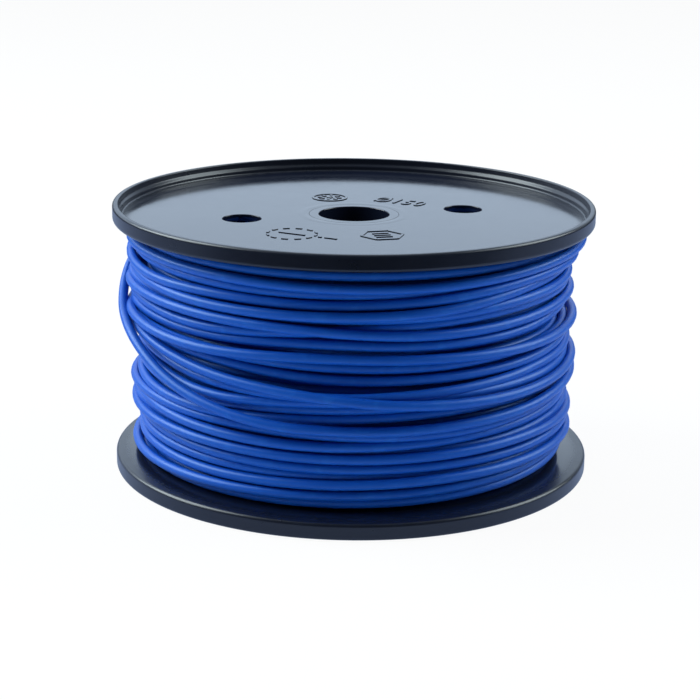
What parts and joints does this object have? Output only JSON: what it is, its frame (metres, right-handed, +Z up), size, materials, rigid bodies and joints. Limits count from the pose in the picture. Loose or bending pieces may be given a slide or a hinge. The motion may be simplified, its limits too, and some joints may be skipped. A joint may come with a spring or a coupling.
{
  "type": "wire spool",
  "caption": "Round plastic spool with dished flanges, a through bore and drive holes, wound full with insulated wire, one slack turn standing off the side.",
  "frame": {"origin": "centre of the lower flange's standing rim, on the plane that the spool stands on", "axes": "+Z up along the spool's axis, from the standing rim to the upper flange; +X through the drive holes"},
  "size_m": [0.15, 0.15, 0.084],
  "materials": {
    "spool_plastic": "gloss",
    "wire_insulation": "satin",
    "copper_strand": "polished"
  },
  "bodies": {
    "root": {"top_flange": "spool_plastic", "bottom_flange": "spool_plastic", "barrel": "spool_plastic", "arbor_tube": "spool_plastic", "wire_layer_01": "wire_insulation", "wire_layer_02": "wire_insulation", "wire_layer_03": "wire_insulation", "wire_layer_04": "wire_insulation", "wire_layer_05": "wire_insulation", "wire_layer_06": "wire_insulation", "wire_layer_07": "wire_insulation", "wire_layer_08": "wire_insulation", "wire_layer_09": "wire_insulation", "wire_layer_10": "wire_insulation", "wire_layer_11": "wire_insulation", "wire_layer_12": "wire_insulation", "wire_layer_13": "wire_insulation", "wire_layer_14": "wire_insulation", "wire_loose_turn": "wire_insulation", "wire_start_tail": "wire_insulation", "wire_end_tail": "wire_insulation", "start_conductor": "copper_strand", "end_conductor": "copper_strand"}
  },
  "joints": []
}
